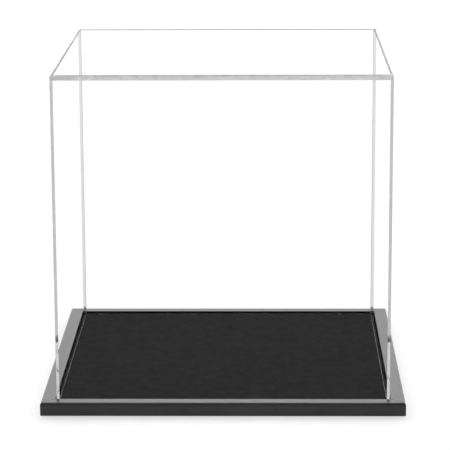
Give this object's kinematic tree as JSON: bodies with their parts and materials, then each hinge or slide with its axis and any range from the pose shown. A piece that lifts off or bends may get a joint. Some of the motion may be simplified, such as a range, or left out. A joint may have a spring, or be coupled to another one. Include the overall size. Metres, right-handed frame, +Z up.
{
  "type": "football display case",
  "caption": "Display case for a football: a clear square cover of five cemented acrylic sheets standing loose in the shallow suede-lined tray of a black mitred base.",
  "frame": {"origin": "middle of the case's footprint, on the surface that its four feet stand on", "axes": "+Z up, the way the cover lifts; +Y to the back; +X to the right, seen from the front"},
  "size_m": [0.3336, 0.3336, 0.3133],
  "materials": {
    "clear_acrylic": "clear cast acrylic, polished faces and edges",
    "black_moulding": "wood moulding in smooth satin black lacquer",
    "suede": "black suede cloth, short matt nap",
    "fibreboard": "raw fibreboard",
    "steel": "bright zinc-plated steel",
    "foot_rubber": "matt black rubber"
  },
  "bodies": {
    "base": {"front_rail": "black_moulding", "right_rail": "black_moulding", "back_rail": "black_moulding", "left_rail": "black_moulding", "insert_board": "fibreboard", "suede_lining": "suede", "mitre_wedges": "steel", "board_screws": "steel", "foot_front_left": "foot_rubber", "foot_front_right": "foot_rubber", "foot_back_right": "foot_rubber", "foot_back_left": "foot_rubber"},
    "cover": {"front_panel": "clear_acrylic", "back_panel": "clear_acrylic", "right_panel": "clear_acrylic", "left_panel": "clear_acrylic", "top_panel": "clear_acrylic"}
  },
  "joints": [
    {"name": "cover_lift", "type": "slide", "parent": "base", "child": "cover", "axis": [0, 0, 1], "range_m": [0, 0.31]}
  ]
}
